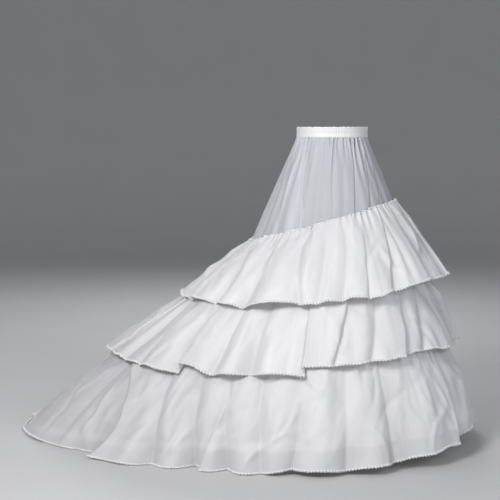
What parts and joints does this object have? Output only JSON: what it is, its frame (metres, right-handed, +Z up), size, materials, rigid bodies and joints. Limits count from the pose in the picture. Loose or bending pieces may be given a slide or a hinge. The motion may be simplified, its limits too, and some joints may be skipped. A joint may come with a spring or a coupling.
{
  "type": "hooped bridal petticoat",
  "caption": "Full-length white bridal petticoat with hoops, tiered ruffles, a gathered yoke and a sweep train.",
  "frame": {"origin": "middle of the waist opening, in the plane of the waistband's top edge", "axes": "+X towards the wearer's front, +Y to the wearer's left, +Z up; the train trails towards -X"},
  "size_m": [1.5378, 1.0264, 1.02],
  "materials": {
    "waistband_satin": "satin",
    "elastic": "matt",
    "yoke_taffeta": "soft sheen",
    "underskirt_taffeta": "soft sheen",
    "organza": "crisp sheen",
    "casing_tape": "matt",
    "hoop_bone": "matt",
    "sleeve_steel": "plain"
  },
  "bodies": {
    "root": {"waistband_casing": "waistband_satin", "waist_elastic": "elastic", "yoke_front": "yoke_taffeta", "yoke_back": "yoke_taffeta", "underskirt_front": "underskirt_taffeta", "underskirt_left": "underskirt_taffeta", "underskirt_right": "underskirt_taffeta", "underskirt_train_left": "underskirt_taffeta", "underskirt_train_right": "underskirt_taffeta", "upper_hoop_casing": "casing_tape", "upper_hoop_bone": "hoop_bone", "upper_hoop_sleeve": "sleeve_steel", "middle_hoop_casing": "casing_tape", "middle_hoop_bone": "hoop_bone", "middle_hoop_sleeve": "sleeve_steel", "lower_hoop_casing": "casing_tape", "lower_hoop_bone": "hoop_bone", "lower_hoop_sleeve": "sleeve_steel", "upper_ruffle": "organza", "middle_ruffle": "organza", "lower_ruffle": "organza"}
  },
  "joints": []
}
